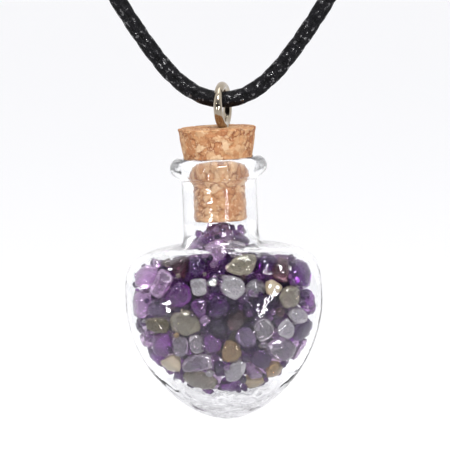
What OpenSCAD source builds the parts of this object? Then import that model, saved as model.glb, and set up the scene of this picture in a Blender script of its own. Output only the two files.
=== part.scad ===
// Heart-shaped glass bottle pendant, filled with amethyst chips and hung by a screw eye in its cork
// from a closed cord necklace. Millimetres, +Z up, front towards -Y.
// The origin is the middle of the clasp, where the loop rests on the nape of the neck.

/* [Cord] */
// Diameter of the waxed cotton cord
cord_d = 2; // [1.6:0.1:2]

/* [Clasp] */
// Length of the clasp with its two end caps
clasp_len = 30; // [28:1:34]
// Diameter of the end caps that hold the cord
cap_d = 3.2; // [2.8:0.1:3.6]
// Length of each end cap
cap_len = 8; // [6:0.5:9]
// Diameter of the ring between the caps, measured along its wire's middle
clasp_ring_d = 5; // [4.6:0.2:5.6]

/* [Screw eye] */
// Outer diameter of the ring
eye_d = 5.65; // [5.4:0.05:6]
// Diameter of its wire
eye_wire_d = 1.05; // [0.9:0.05:1.1]
// Turn of the ring away from the cord's cross plane, in degrees
eye_turn = 14; // [0:1:20]
// How deep the ring's foot is pressed into the cork
eye_sink = 0.3; // [0.1:0.05:0.4]
// How far the eye stands from the middle of the cork
eye_offset = 0.8; // [0:0.1:1]
// Diameter of the shank inside the cork
shank_d = 1.2; // [1.1:0.1:1.5]
// Length of the shank below the ring's foot
shank_len = 6; // [4:0.5:7]

/* [Cork] */
// Diameter of the cork's top
cork_top_d = 9.25; // [8.8:0.05:9.6]
// Diameter where the cork enters the mouth
cork_lip_d = 8.1; // [7.8:0.05:8.2]
// Length of the cork
cork_len = 10.9; // [10:0.1:12]
// How far the cork stands out of the mouth
cork_proud = 3.45; // [3:0.05:4]

/* [Bottle neck] */
// Outer diameter of the neck
neck_d = 8.8; // [8.4:0.1:9.2]
// Bore of the neck
bore_d = 6.26; // [6:0.02:6.6]
// Outer diameter of the lip
lip_d = 11.4; // [11:0.1:12]
// Height from the heart's shoulders to the top of the lip
neck_len = 10.3; // [10:0.1:11]
// Depth of the mouth's taper
mouth_len = 3.3; // [3:0.1:3.6]

/* [Heart] */
// Width of the glass heart
heart_w = 23.2; // [22:0.1:24]
// Thickness of the glass heart
heart_t = 11.2; // [11:0.1:12]
// Height of the shoulders above the widest level
heart_rise = 7; // [6.5:0.1:7.5]
// Drop of the tip below the widest level
heart_drop = 13.85; // [13:0.05:14.5]
// Thickness of the glass at the sides and faces
wall_t = 0.55; // [0.5:0.05:1]
// Thickness of the glass at the tip
tip_t = 2.85; // [2.4:0.05:3.4]

/* [Amethyst chips] */
// Distance between the chips that fill the heart
chip_pitch = 2.16; // [2.16:0.02:2.4]
// Clear space between two chips
chip_gap = 0.14; // [0.12:0.02:0.2]

/* [Pendant] */
// Lean of the pendant, whose eye stands beside its middle, in degrees
lean = 2.4; // [0:0.1:3]

/* [Hidden] */
$fn = 64;

// Half of the cord's route as [x, z], from its lowest point up to the clasp; the other half mirrors it
half_route = [
    [0, -144], [2, -143.7], [4, -142.7], [6, -141], [8, -138.6],
    [10, -135.8], [12.5, -131.9], [18, -122.9], [31.8, -100.3], [45.5, -78.5],
    [53.3, -65.5], [58.5, -54.5], [61.4, -44.5], [62.1, -35], [60, -25.5],
    [54.3, -16.6], [46, -9.6], [35, -4.2], [24.3, -1.1], [clasp_len / 2, 0]
];
cord_sides = 8;
loop_drop = -half_route[0][1];

// Clearances: cord in the eye, cork in the glass, and screw eye in the cork
eye_gap = 0.06;
fit_gap = 0.05;
seat_gap = 0.03;

// Heights in the pendant's own frame, where 0 is the middle of the cord in the eye
eye_r = (eye_d - eye_wire_d) / 2;
eye_z = -(eye_r - (eye_wire_d + cord_d) / 2 - eye_gap);
cork_top_z = eye_z - eye_d / 2 + eye_sink;
lip_z = cork_top_z - cork_proud;
cork_low_z = cork_top_z - cork_len;
mouth_z = lip_z - mouth_len;
shoulder_z = lip_z - neck_len;
widest_z = shoulder_z - heart_rise;

// Lip: a round bead with a slope under it, together lip_h high
lip_h = 2.9;
bead_r = 1.2;
bead_z = lip_z - bead_r;
bead_mid = lip_d / 2 - bead_r;
mouth_r = cork_lip_d / 2 + 2 * fit_gap;

// Neck's foot, where it widens into the heart and runs on inside it
foot_h = 1.5;
foot_r = 5;
foot_depth = 1;
bore_foot_r = 4.4;
bore_foot_h = 3.2;
bore_depth = 0.3;

// Heart: superellipse powers of the shoulders, of a level section and of the depth down to the tip
shoulder_power = 4;
section_power = 2.2;
depth_power = 2.2;

// A heart is [half width, half depth, rise, drop, radius at the neck's foot, power of its sides];
// the hollow's sides are rounder, so its glass is thickest at the tip
outer = [heart_w / 2, heart_t / 2, heart_rise, heart_drop, foot_r, 1.76];
hollow = [
    heart_w / 2 - wall_t, heart_t / 2 - wall_t, heart_rise - wall_t, heart_drop - tip_t, bore_foot_r, 2.05
];
heart_sides = 32;
shoulder_rows = 9;
side_rows = 10;

// Chips: how far past its own half sizes one may grow into free space, and its gap to the glass
chip_growth = 1.7;
chip_wall_gap = 0.22;

// Heap under the cork: a blunt cone
heap_top_r = 1.3;
heap_slope = 1.25;

// Places of the chips behind the charted ones: a turned, close-packed grid, each place shaken at random
grid_reach = 9;
grid_turn = [17, 31];
grid_middle = [0.4, 0.3, widest_z - 2.2];
grid_shake = 0.42;
grid_margin = 0.62;
charted_room = 0.36;

// Half sizes of such a chip, the most that chance adds to them, and its most lean in depth
filler_half = [1, 0.85, 0.75];
filler_more = [0.45, 0.3, 0.3];
filler_lean = 60;
filler_seed = 7200;

// Chips that show best behind the front glass
// Columns: x from the bottle's middle, depth below the cord, length, height, tilt in degrees
front_chips = [
    [-1, 15, 1.6, 1.3, 0],
    [0.5, 15.6, 1.7, 1.5, 20],
    [2.1, 16, 1.8, 1.5, -40],
    [-1.9, 16, 1.8, 1.5, 50],
    [-2.9, 17.1, 2, 1.6, 60],
    [-0.5, 17.3, 2.6, 2, 0],
    [1.5, 17.2, 2.2, 1.8, -20],
    [2.4, 19.1, 3.7, 2.1, 28],
    [1.3, 21.6, 2.4, 2.2, 0],
    [-4.3, 25.4, 3, 2.5, -10],
    [8.5, 25.7, 1.9, 1.6, -35],
    [7.2, 27, 1.9, 1.9, 0],
    [6.2, 29.4, 2.8, 2.7, 0],
    [0.7, 29.3, 2.3, 1.6, 80],
    [1.3, 31.5, 2.4, 1.6, 45],
    [5.5, 31.9, 1.8, 1.5, 90],
    [3, 33.4, 1.6, 1.6, 0],
    [-3.3, 32.7, 3.4, 1.9, -10],
    [-3.5, 30.6, 3.3, 1.7, 5],
    [-6.4, 30.6, 2.4, 1.6, -10],
    [-9, 20.3, 2.4, 2, 0],
    [-7.1, 21.2, 2.8, 1.9, 60],
    [-5.1, 22.4, 3, 2.2, 0],
    [-2.9, 21.7, 1.7, 1.7, 0],
    [-2.8, 23.8, 2, 2, 0],
    [-0.8, 24, 2.4, 2.1, 0],
    [1.1, 25.6, 2, 1.9, 0],
    [-7.8, 25.9, 2, 1.7, -30],
    [-7.4, 28.4, 2.6, 2.2, 90],
    [-5.2, 28.6, 1.9, 1.9, 0],
    [-3.4, 28.3, 1.8, 1.7, 0],
    [-1.7, 28.2, 1.7, 1.6, 0],
    [2.3, 27.6, 2.1, 1.9, 90],
    [4, 30.6, 2.3, 2, 90],
    [3, 31.8, 1.8, 1.6, -40],
    [6.7, 20.2, 2.5, 1.7, 90],
    [5.8, 22, 1.7, 1.5, 0],
    [7.6, 23.2, 2.3, 1.9, 90],
    [9, 20.6, 2.6, 2, 80],
    [5, 19.2, 2.5, 1.7, 60]
];

function unit(v) = v / norm(v);

// Cord route

// The whole route in x and z, from one end of the clasp to the other
route_xz = concat(
    [for (i = [len(half_route) - 1:-1:1]) [-half_route[i][0], half_route[i][1]]],
    half_route
);
route = [for (p = route_xz) [p[0], 0, p[1]]];

// The cord leaves one cap and comes back to the other level, both times towards -X
end_heading = [-1, 0, 0];

// Direction of the route at its point i
function heading(i) =
    i == 0 || i == len(route) - 1
        ? end_heading
        : let (before = route[i] - route[i - 1], after = route[i + 1] - route[i])
          unit(before / norm(before) * norm(after) + after / norm(after) * norm(before));

// The route's points with a smooth middle point in each stretch
cord_line = [
    for (i = [0:len(route) - 1])
        for (half = i < len(route) - 1 ? [0, 1] : [0])
            half == 0
                ? route[i]
                : (route[i] + route[i + 1]) / 2
                  + norm(route[i + 1] - route[i]) / 8 * (heading(i) - heading(i + 1))
];

// Direction of the swept line at its point i
function line_heading(i) =
    i == 0 || i == len(cord_line) - 1
        ? end_heading
        : unit(unit(cord_line[i] - cord_line[i - 1]) + unit(cord_line[i + 1] - cord_line[i]));

// Faces of a tube of rings, each of n points, closed at its first ring
function tube_faces(rings, n) = concat(
    [[for (j = [n - 1:-1:0]) j]],
    [for (i = [0:rings - 2]) for (j = [0:n - 1])
        each [[i * n + j, i * n + (j + 1) % n, (i + 1) * n + (j + 1) % n],
              [i * n + j, (i + 1) * n + (j + 1) % n, (i + 1) * n + j]]]
);

// Heart forms

// Half depth of a heart above its widest level, where s runs from 0 there to 1 at the shoulders
function upper_depth(form, s) = form[1] - (form[1] - form[4]) * pow(s, 2);

// Rows of a heart as [half width, half depth, z], from the neck's foot down to just above the tip
function heart_rows(form) =
    let (top_angle = acos(pow(form[4] / form[0], shoulder_power / 2)))
    concat(
        [for (i = [0:shoulder_rows])
            let (t = top_angle * (1 - i / shoulder_rows), s = pow(sin(t), 2 / shoulder_power))
            [form[0] * pow(cos(t), 2 / shoulder_power), upper_depth(form, s), widest_z + form[2] * s]],
        [for (i = [1:side_rows - 1])
            let (t = 90 * i / side_rows, s = pow(sin(t), 2 / form[5]))
            [form[0] * pow(cos(t), 2 / form[5]),
             form[1] * pow(1 - pow(s, depth_power), 1 / depth_power),
             widest_z - form[3] * s]]
    );

function signed_pow(v, n) = sign(v) * pow(abs(v), n);

// Level section of a heart: a superellipse of heart_sides points
function section(row) = [
    for (j = [0:heart_sides - 1])
        let (a = 360 * j / heart_sides)
        [row[0] * signed_pow(cos(a), 2 / section_power),
         row[1] * signed_pow(sin(a), 2 / section_power),
         row[2]]
];

module heart_solid(form) {
    rows = heart_rows(form);
    n = heart_sides;
    last = (len(rows) - 1) * n;
    tip = last + n;
    polyhedron(
        concat([for (row = rows) each section(row)], [[0, 0, widest_z - form[3]]]),
        concat(tube_faces(len(rows), n), [for (j = [0:n - 1]) [last + j, last + (j + 1) % n, tip]])
    );
}

// Chip field

// The heap of chips: the hollow, less the gap to the glass all round
heap = [for (i = [0:5]) hollow[i] - (i < 5 ? chip_wall_gap : 0)];

// Half width and half depth of the heap at a height z inside the heart
function heap_part(z) = z > widest_z ? (z - widest_z) / heap[2] : (widest_z - z) / heap[3];
function heap_w(z) =
    let (n = z > widest_z ? shoulder_power : heap[5])
    heap[0] * pow(max(0, 1 - pow(heap_part(z), n)), 1 / n);
function heap_d(z) =
    z > widest_z
        ? upper_depth(heap, heap_part(z))
        : heap[1] * pow(max(0, 1 - pow(heap_part(z), depth_power)), 1 / depth_power);

// The heap ends in a blunt cone in the neck, just under the cork
heap_z = cork_low_z - chip_wall_gap;
neck_low_z = widest_z + hollow[2];
function bore_r(z) =
    let (part = (neck_low_z + bore_foot_h - z) / (bore_foot_h + bore_depth))
    bore_d / 2 + (bore_foot_r - bore_d / 2) * max(0, min(1, part));
function cone_r(z) = min(bore_r(z) - chip_wall_gap, heap_top_r + (heap_z - z) * heap_slope);
function in_cone(z) = z > widest_z + heap[2];

function in_heap(p) =
    in_cone(p[2])
        ? p[2] < heap_z && norm([p[0], p[1]]) < cone_r(p[2])
        : let (w = heap_w(p[2]), d = heap_d(p[2]))
          w > 0 && d > 0
          && pow(abs(p[0]) / w, section_power) + pow(abs(p[1]) / d, section_power) < 1;

// How far the heap's front lies before its middle plane at x and z
function front_depth(x, z) =
    in_cone(z)
        ? sqrt(pow(cone_r(z), 2) - x * x)
        : heap_d(z) * pow(1 - pow(abs(x) / heap_w(z), section_power), 1 / section_power);

// Distance from p along u to the end of the heap, by halving
function heap_reach(p, u, low, high, steps) =
    steps == 0
        ? low
        : let (middle = (low + high) / 2)
          in_heap(p + middle * u)
              ? heap_reach(p, u, middle, high, steps - 1)
              : heap_reach(p, u, low, middle, steps - 1);

// Axes of a chip: its length at a tilt in the front view and at a lean in depth
function chip_axes(tilt, into) = [
    [cos(tilt) * cos(into), sin(into), sin(tilt) * cos(into)],
    [-sin(tilt), 0, cos(tilt)],
    cross([cos(tilt) * cos(into), sin(into), sin(tilt) * cos(into)], [-sin(tilt), 0, cos(tilt)])
];

// A chip is [middle, half sizes, axes]
function front_chip(row) =
    let (z = -row[1], half = min(row[2], row[3]) / 2)
    [[row[0], half - front_depth(row[0], z), z], [row[2] / 2, row[3] / 2, half], chip_axes(row[4], 0)];

charted = [for (row = front_chips) front_chip(row)];

// Turn of the grid, about z and then about x
function turned(p) =
    let (
        a = grid_turn[0],
        b = grid_turn[1],
        x = p[0] * cos(a) - p[1] * sin(a),
        y = p[0] * sin(a) + p[1] * cos(a)
    )
    [x, y * cos(b) - p[2] * sin(b), y * sin(b) + p[2] * cos(b)];

axis_directions = [[1, 0, 0], [-1, 0, 0], [0, 1, 0], [0, -1, 0], [0, 0, 1], [0, 0, -1]];

function deep_inside(p) =
    in_heap(p) && min([for (u = axis_directions) in_heap(p + grid_margin * u) ? 1 : 0]) == 1;

function clear_of_charted(p) =
    min([for (c = charted) norm(p - c[0]) - (c[1][0] + c[1][1]) / 2]) > charted_room * chip_pitch;

grid_step = chip_pitch / sqrt(2);
grid_side = 2 * grid_reach + 1;
grid_places = [
    for (i = [-grid_reach:grid_reach]) for (j = [-grid_reach:grid_reach]) for (k = [-grid_reach:grid_reach])
        if ((i + j + k) % 2 == 0)
            let (
                seed = ((i + grid_reach) * grid_side + j + grid_reach) * grid_side + k + grid_reach,
                p = grid_middle + turned([i, j, k] * grid_step) + rands(-grid_shake, grid_shake, 3, seed)
            )
            if (deep_inside(p) && clear_of_charted(p)) [p, seed]
];

function filler_chip(place) =
    let (r = rands(0, 1, 5, place[1] + filler_seed))
    [place[0],
     [for (i = [0:2]) filler_half[i] + filler_more[i] * r[i]],
     chip_axes(180 * r[3], filler_lean * (2 * r[4] - 1))];

all_chips = concat(charted, [for (place = grid_places) filler_chip(place)]);

// How far a chip wants to reach along a direction
function support(chip, n) =
    norm([chip[1][0] * (n * chip[2][0]), chip[1][1] * (n * chip[2][1]), chip[1][2] * (n * chip[2][2])]);

// Walls between a chip and its neighbours as [outward direction, distance]
neighbour_range = 2.1 * chip_pitch;
function chip_walls(chip) = [
    for (other = all_chips)
        let (away = other[0] - chip[0], gap = norm(away))
        if (gap > 0 && gap < neighbour_range)
            let (n = away / gap, a = support(chip, n), b = support(other, n))
            [n, gap * a / (a + b) - chip_gap / 2]
];

// Directions round a chip's long axis: its two ends and three rings, the middle one half a step on
chip_lats = [-42, 0, 42];
chip_ring = 6;
chip_shape = concat(
    [[-90, 0]],
    [for (i = [0:len(chip_lats) - 1]) for (j = [0:chip_ring - 1])
        [chip_lats[i], 360 / chip_ring * (j + (i % 2) / 2)]],
    [[90, 0]]
);
chip_faces =
    let (n = chip_ring, m = len(chip_lats), top = n * m + 1)
    concat(
        [for (j = [0:n - 1]) [0, 1 + j, 1 + (j + 1) % n]],
        [for (i = [0:m - 2]) for (j = [0:n - 1])
            let (a = 1 + i * n + j, b = 1 + i * n + (j + 1) % n, c = a + n, d = b + n)
            each (i % 2 == 0 ? [[a, c, b], [b, c, d]] : [[a, c, d], [a, d, b]])],
        [for (j = [0:n - 1]) [top, 1 + (m - 1) * n + (j + 1) % n, 1 + (m - 1) * n + j]]
    );

// A corner of a chip: as far as its size, its neighbours and the glass let it reach
grazing = 0.05;
wall_steps = 8;
function chip_point(chip, walls, at) =
    let (
        v = chip[1][0] * sin(at[0]) * chip[2][0]
            + cos(at[0]) * (chip[1][1] * cos(at[1]) * chip[2][1] + chip[1][2] * sin(at[1]) * chip[2][2]),
        u = unit(v),
        wish = chip_growth * norm(v),
        free = min([for (w = walls) let (c = w[0] * u) c > grazing ? w[1] / c : wish])
    )
    chip[0] + heap_reach(chip[0], u, 0, min(wish, free), wall_steps) * u;

module one_chip(chip) {
    walls = chip_walls(chip);
    polyhedron([for (at = chip_shape) chip_point(chip, walls, at)], chip_faces);
}

// Places in the assembly

// From the pendant's own frame, with 0 at the cord in the eye, to the whole necklace's
module hang() {
    translate([0, 0, -loop_drop]) rotate([0, -lean, 0]) children();
}

// From the bottle's middle line to the eye's
module on_bottle_axis() {
    translate([-eye_offset, 0, 0]) children();
}

module eye_ring(wire_d) {
    translate([0, 0, eye_z]) rotate([0, 0, -eye_turn]) rotate([0, 90, 0])
        rotate_extrude() translate([eye_r, 0]) circle(d = wire_d);
}

// Sub-parts

module cord() {
    rings = len(cord_line);
    color("#18181a")
        polyhedron(
            [for (i = [0:rings - 1])
                let (t = line_heading(i), n = [-t[2], 0, t[0]])
                for (j = [0:cord_sides - 1])
                    let (a = 360 * (j + 0.5) / cord_sides)
                    cord_line[i] + cord_d / 2 * (cos(a) * n + sin(a) * [0, 1, 0])],
            concat(
                tube_faces(rings, cord_sides),
                [[for (j = [0:cord_sides - 1]) (rings - 1) * cord_sides + j]]
            )
        );
}

// Two caps, joined by bars to a ring between them
module clasp() {
    bar_d = 1.6;
    bar_grip = 1;
    wire_d = 1.4;
    color("silver") {
        for (side = [-1, 1]) {
            translate([side * clasp_len / 2, 0, 0]) rotate([0, -90 * side, 0])
                cylinder(d = cap_d, h = cap_len);
            translate([side * clasp_ring_d / 2, 0, 0]) rotate([0, 90 * side, 0])
                cylinder(d = bar_d, h = (clasp_len - clasp_ring_d) / 2 - cap_len + bar_grip);
        }
        rotate([90, 0, 0]) rotate_extrude() translate([clasp_ring_d / 2, 0]) circle(d = wire_d);
    }
}

module screw_eye() {
    color("#b9babb") hang() {
        eye_ring(eye_wire_d);
        translate([0, 0, eye_z - eye_r - shank_len]) cylinder(d = shank_d, h = shank_len);
    }
}

module cork() {
    low_r = bore_d / 2 - fit_gap;
    bevel = 0.15;
    color("#d6a878") hang() difference() {
        on_bottle_axis() rotate_extrude() polygon([
            [0, cork_top_z], [cork_top_d / 2 - bevel, cork_top_z], [cork_top_d / 2, cork_top_z - bevel],
            [cork_lip_d / 2, lip_z], [low_r, mouth_z], [low_r, cork_low_z + bevel],
            [low_r - bevel, cork_low_z], [0, cork_low_z]
        ]);
        eye_ring(eye_wire_d + 2 * seat_gap);
        translate([0, 0, eye_z - eye_r - shank_len - seat_gap])
            cylinder(d = shank_d + 2 * seat_gap, h = shank_len + seat_gap);
    }
}

// Outer form of the neck and lip, as a profile turned round the bottle's axis
module neck_profile() {
    neck_r = neck_d / 2;
    translate([bead_mid, bead_z]) circle(r = bead_r);
    polygon(concat(
        [[0, lip_z], [bead_mid, lip_z], [lip_d / 2, bead_z], [neck_r, lip_z - lip_h]],
        [for (a = [0:15:90])
            [neck_r + (foot_r - neck_r) * (1 - cos(a)), shoulder_z + foot_h * (1 - sin(a))]],
        [[foot_r, shoulder_z - foot_depth], [0, shoulder_z - foot_depth]]
    ));
}

// Hollow of the neck, from above the mouth into the heart
module bore_profile() {
    above = 0.5;
    above_r = mouth_r + above * (mouth_r - bore_d / 2) / mouth_len;
    low_z = neck_low_z - bore_depth;
    polygon([
        [0, lip_z + above], [above_r, lip_z + above], [bore_d / 2, mouth_z],
        [bore_d / 2, neck_low_z + bore_foot_h], [bore_foot_r, low_z], [0, low_z]
    ]);
}

module bottle() {
    color("#dfe9ee", 0.35) hang() on_bottle_axis() difference() {
        union() {
            rotate_extrude() neck_profile();
            heart_solid(outer);
        }
        rotate_extrude() bore_profile();
        heart_solid(hollow);
    }
}

module chips() {
    color("#6d4f8c") hang() on_bottle_axis()
        for (chip = all_chips) one_chip(chip);
}

cord();
clasp();
screw_eye();
cork();
bottle();
chips();
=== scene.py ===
"""Looks of a heart-shaped glass bottle pendant on a waxed cord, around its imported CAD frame."""

import math
from collections import namedtuple

import bmesh
import bpy
import numpy as np
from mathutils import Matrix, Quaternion, Vector, noise


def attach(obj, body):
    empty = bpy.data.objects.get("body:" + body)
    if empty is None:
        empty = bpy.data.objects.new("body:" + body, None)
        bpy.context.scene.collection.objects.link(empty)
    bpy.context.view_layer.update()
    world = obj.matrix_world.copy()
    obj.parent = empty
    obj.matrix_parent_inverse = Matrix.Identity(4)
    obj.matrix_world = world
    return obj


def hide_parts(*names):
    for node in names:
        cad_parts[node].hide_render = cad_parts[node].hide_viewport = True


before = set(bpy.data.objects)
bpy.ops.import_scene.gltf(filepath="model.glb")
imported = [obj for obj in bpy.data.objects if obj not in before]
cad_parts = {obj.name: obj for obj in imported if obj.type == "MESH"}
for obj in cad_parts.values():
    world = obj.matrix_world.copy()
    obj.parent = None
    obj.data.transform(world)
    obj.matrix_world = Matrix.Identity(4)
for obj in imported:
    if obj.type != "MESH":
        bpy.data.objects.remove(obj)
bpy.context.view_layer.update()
MM = 0.001
SEED = 41

# Sizes of part.scad, in millimetres

LOOP_DROP = 144
CORD_D = 2

CLASP_LEN = 30
CAP_D = 3.2
CAP_LEN = 8
CLASP_RING_D = 5
CLASP_WIRE = 1.4
CLASP_BAR = 1.6

EYE_D = 5.65
EYE_WIRE = 1.05
EYE_TURN = math.radians(14)
EYE_SINK = 0.3
EYE_GAP = 0.06
EYE_OFFSET = 0.8
SHANK_D = 1.2
SHANK_LEN = 6

CORK_TOP_R = 4.625
CORK_LIP_R = 4.05
CORK_LOW_R = 3.08
CORK_LEN = 10.9
CORK_PROUD = 3.45

NECK_R = 4.4
NECK_LEN = 10.3
LIP_R = 5.7
LIP_H = 2.9
BEAD_R = 1.2
MOUTH_R = 4.15
MOUTH_LEN = 3.3
BORE_R = 3.13
FOOT_H = 1.5
BORE_FOOT_H = 3.2

# A heart is measured from its widest level up to the neck's foot and down to the tip. Its sides have a
# superellipse power of their own; the others are those of the shoulders, of a level section and of the
# depth down to the tip
Heart = namedtuple("Heart", "half_width half_depth rise drop foot_r side_power")
OUTER = Heart(11.6, 5.6, 7, 13.85, 5, 1.76)
HOLLOW = Heart(11.05, 5.05, 6.45, 11, 4.4, 2.05)
SHOULDER_POWER = 4
SECTION_POWER = 2.2
DEPTH_POWER = 2.2

# Lean of the pendant, whose eye stands beside its middle
LEAN = math.radians(2.4)

# Heights in the pendant's own frame, where 0 is the middle of the cord in the eye
EYE_R = (EYE_D - EYE_WIRE) / 2
EYE_Z = -(EYE_R - (EYE_WIRE + CORD_D) / 2 - EYE_GAP)
CORK_TOP = EYE_Z - EYE_D / 2 + EYE_SINK
CORK_LOW = CORK_TOP - CORK_LEN
LIP_Z = CORK_TOP - CORK_PROUD
MOUTH_Z = LIP_Z - MOUTH_LEN
SHOULDER_Z = LIP_Z - NECK_LEN
WIDEST_Z = SHOULDER_Z - OUTER.rise


# Camera, in metres: it looks a little down at the bottle's neck

# Width that the photo shows at the pendant
PHOTO_WIDTH = 0.05294
CAMERA_FAR = 0.4
CAMERA_TILT = math.radians(6)
SENSOR_WIDTH = 36
target = Vector((0.0003, 0, -0.1588))

camera = bpy.data.objects.new("camera", bpy.data.cameras.new("camera"))
camera.data.sensor_width = SENSOR_WIDTH
camera.data.lens = SENSOR_WIDTH * CAMERA_FAR / PHOTO_WIDTH
camera.data.clip_start = 0.01
camera.location = target + CAMERA_FAR * Vector((0, -math.cos(CAMERA_TILT), math.sin(CAMERA_TILT)))
camera.rotation_euler = (target - camera.location).to_track_quat("-Z", "Y").to_euler()
bpy.context.collection.objects.link(camera)
bpy.context.scene.camera = camera


# Meshes

def grid_faces(rows, sides, closed_ends=False):
    """Quads between rows of sides points each, and end caps if they are asked for."""
    faces = []
    for low in range(0, (rows - 1) * sides, sides):
        high = low + sides
        for j in range(sides):
            k = (j + 1) % sides
            faces.append((low + j, low + k, high + k, high + j))
    if closed_ends:
        last = (rows - 1) * sides
        faces.append(tuple(range(sides - 1, -1, -1)))
        faces.append(tuple(range(last, last + sides)))
    return faces


def new_piece(name, points, faces, looks, body, nodes):
    """A smooth mesh piece in metres from points in millimetres, with its materials."""
    mesh = bpy.data.meshes.new(name)
    mesh.from_pydata((np.asarray(points, float) * MM).tolist(), [], faces)
    mesh.validate()
    work = bmesh.new()
    work.from_mesh(mesh)
    bmesh.ops.recalc_face_normals(work, faces=work.faces)
    work.to_mesh(mesh)
    work.free()
    mesh.shade_smooth()
    for look in looks:
        mesh.materials.append(look)
    piece = bpy.data.objects.new(name, mesh)
    bpy.context.collection.objects.link(piece)
    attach(piece, body)
    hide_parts(*nodes)
    return piece


def store(piece, name, values):
    """Keep one value for each point of a piece, for its look to read."""
    piece.data.attributes.new(name, "FLOAT", "POINT").data.foreach_set("value", values)


def hang(points, offset=0.0):
    """From the pendant's own frame to the necklace's, for points whose axis stands offset from the eye's."""
    p = np.asarray(points, float)
    x, z = p[:, 0] + offset, p[:, 2]
    c, s = math.cos(LEAN), math.sin(LEAN)
    return np.stack([x * c - z * s, p[:, 1], x * s + z * c - LOOP_DROP], 1)


def unhang(points, offset=0.0):
    """Back from the necklace's frame to the pendant's own."""
    p = np.asarray(points, float)
    x, z = p[:, 0], p[:, 2] + LOOP_DROP
    c, s = math.cos(LEAN), math.sin(LEAN)
    return np.stack([x * c + z * s - offset, p[:, 1], -x * s + z * c], 1)


def round_profile(profile, reach):
    """A profile with each corner but the first and last cut back by reach and rounded."""
    p = [Vector(q) for q in profile]
    out = [p[0]]
    for before, at, after in zip(p, p[1:], p[2:]):
        # Each cut takes less than half of its side
        r = min(reach, (at - before).length / 2.1, (after - at).length / 2.1)
        start = at + (before - at).normalized() * r
        end = at + (after - at).normalized() * r
        out += [(1 - t) ** 2 * start + 2 * t * (1 - t) * at + t * t * end for t in (0, 0.33, 0.67, 1)]
    return [tuple(q) for q in out + [p[-1]]]


def subdivide(profile, reach):
    """A profile with its points no further apart than reach."""
    fine = [profile[0]]
    for before, after in zip(profile, profile[1:]):
        steps = max(1, math.ceil(math.dist(before, after) / reach))
        for i in range(1, steps + 1):
            fine.append(tuple(b + (a - b) * i / steps for b, a in zip(before, after)))
    return fine


def lathe(profile, sides):
    """Points of a profile of (radius, z) turned round z."""
    a = np.arange(sides) * 2 * math.pi / sides
    rings = [np.stack([r * np.cos(a), r * np.sin(a), np.full(sides, float(z))], 1) for r, z in profile]
    return np.concatenate(rings)


def torus(middle_r, wire_r, around, across):
    """Points and faces of a ring in the YZ plane."""
    points, faces = [], []
    for i in range(around):
        a = 2 * math.pi * i / around
        here, there = i * across, (i + 1) % around * across
        for j in range(across):
            b = 2 * math.pi * j / across
            k = (j + 1) % across
            r = middle_r + wire_r * math.cos(b)
            points.append((wire_r * math.sin(b), r * math.cos(a), r * math.sin(a)))
            faces.append((here + j, here + k, there + k, there + j))
    return np.array(points), faces


def join_parts(parts):
    """One list of points and of faces from several."""
    points, faces, start = [], [], 0
    for p, f in parts:
        points.append(np.asarray(p, float))
        faces += [tuple(i + start for i in face) for face in f]
        start += len(p)
    return np.concatenate(points), faces


def wobble(p, size, seed):
    """Smooth noise from about -1 to 1 at a point in millimetres, with humps of that size."""
    return noise.noise(Vector((p[0] / size + seed, p[1] / size - seed, p[2] / size + 2 * seed)))


# Materials

def srgb(*rgb):
    """A linear colour from the 0 to 255 numbers of the screen."""
    shares = [v / 255 for v in rgb]
    return (*[v / 12.92 if v <= 0.04045 else ((v + 0.055) / 1.055) ** 2.4 for v in shares], 1)


class Nodes:
    """A node tree under construction. A value is a fixed one or what another node puts out."""

    def __init__(self, tree):
        self.tree = tree
        tree.nodes.clear()

    def feed(self, socket, value):
        """Give a socket its value."""
        if isinstance(value, bpy.types.NodeSocket):
            self.tree.links.new(value, socket)
        else:
            socket.default_value = value

    def feed_all(self, node, inputs):
        """Feed a node's inputs by name, where an underscore stands for a space."""
        for key, value in inputs.items():
            self.feed(node.inputs[key.replace("_", " ")], value)

    def add(self, kind, props=None, **inputs):
        """A new node of that kind, with its properties and inputs."""
        node = self.tree.nodes.new(kind)
        for key, value in (props or {}).items():
            setattr(node, key, value)
        self.feed_all(node, inputs)
        return node

    def math(self, kind, *values, clamp=False):
        """Arithmetic with numbers, kept from 0 to 1 if it is clamped."""
        node = self.add("ShaderNodeMath", {"operation": kind, "use_clamp": clamp})
        for socket, value in zip(node.inputs, values):
            self.feed(socket, value)
        return node.outputs[0]

    def vector(self, kind, *values, output="Vector"):
        """Arithmetic with vectors."""
        node = self.add("ShaderNodeVectorMath", {"operation": kind})
        for socket, value in zip(node.inputs, values):
            self.feed(socket, value)
        return node.outputs[output]

    def ramp(self, fac, stops, ease="LINEAR"):
        """Colour by a value; stops are (value, colour or grey)."""
        node = self.add("ShaderNodeValToRGB", Fac=fac)
        ramp = node.color_ramp
        ramp.interpolation = ease
        while len(ramp.elements) < len(stops):
            ramp.elements.new(0.5)
        for element, (at, colour) in zip(ramp.elements, stops):
            element.position = at
            element.color = colour if isinstance(colour, tuple) else (colour, colour, colour, 1)
        return node.outputs["Color"]

    def mix(self, fac, a, b):
        """Colour a where fac is 0 and colour b where it is 1."""
        node = self.add("ShaderNodeMix", {"data_type": "RGBA"})
        # Sockets 6 and 7 and output 2 are the node's colours
        for index, value in ((0, fac), (6, a), (7, b)):
            self.feed(node.inputs[index], value)
        return node.outputs[2]


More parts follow.
